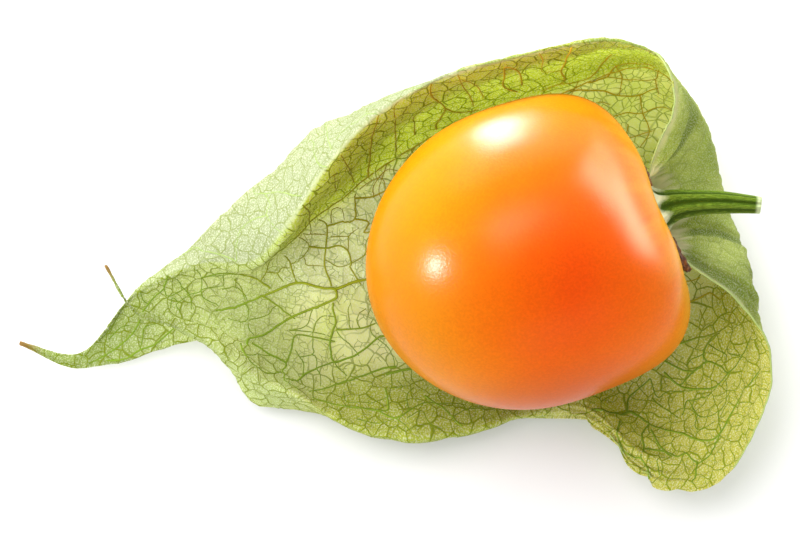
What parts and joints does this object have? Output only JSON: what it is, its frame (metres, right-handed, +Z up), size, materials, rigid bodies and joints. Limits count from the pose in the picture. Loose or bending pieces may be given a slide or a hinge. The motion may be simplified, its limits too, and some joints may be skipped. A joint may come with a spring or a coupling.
{
  "type": "physalis berry",
  "caption": "Ripe cape gooseberry lying in its torn-open papery husk, with the cut stem at one end and the husk's two long tips at the other.",
  "frame": {"origin": "under the middle of the whole object's box, on the surface that the husk's back rests on", "axes": "+X from the husk's tips towards the cut stem, +Y across the husk towards its high folded edge, +Z up"},
  "size_m": [0.0472, 0.0287, 0.0196],
  "materials": {
    "berry_skin": "smooth glossy fruit skin, yellow-orange at the rim and red-orange in the middle",
    "husk_paper": "matt thin papery leaf with a raised net of veins, light shows through it",
    "stem_green": "matt green stalk with long ridges and fine down"
  },
  "bodies": {
    "root": {"berry": "berry_skin", "husk": "husk_paper", "stem": "stem_green"}
  },
  "joints": []
}
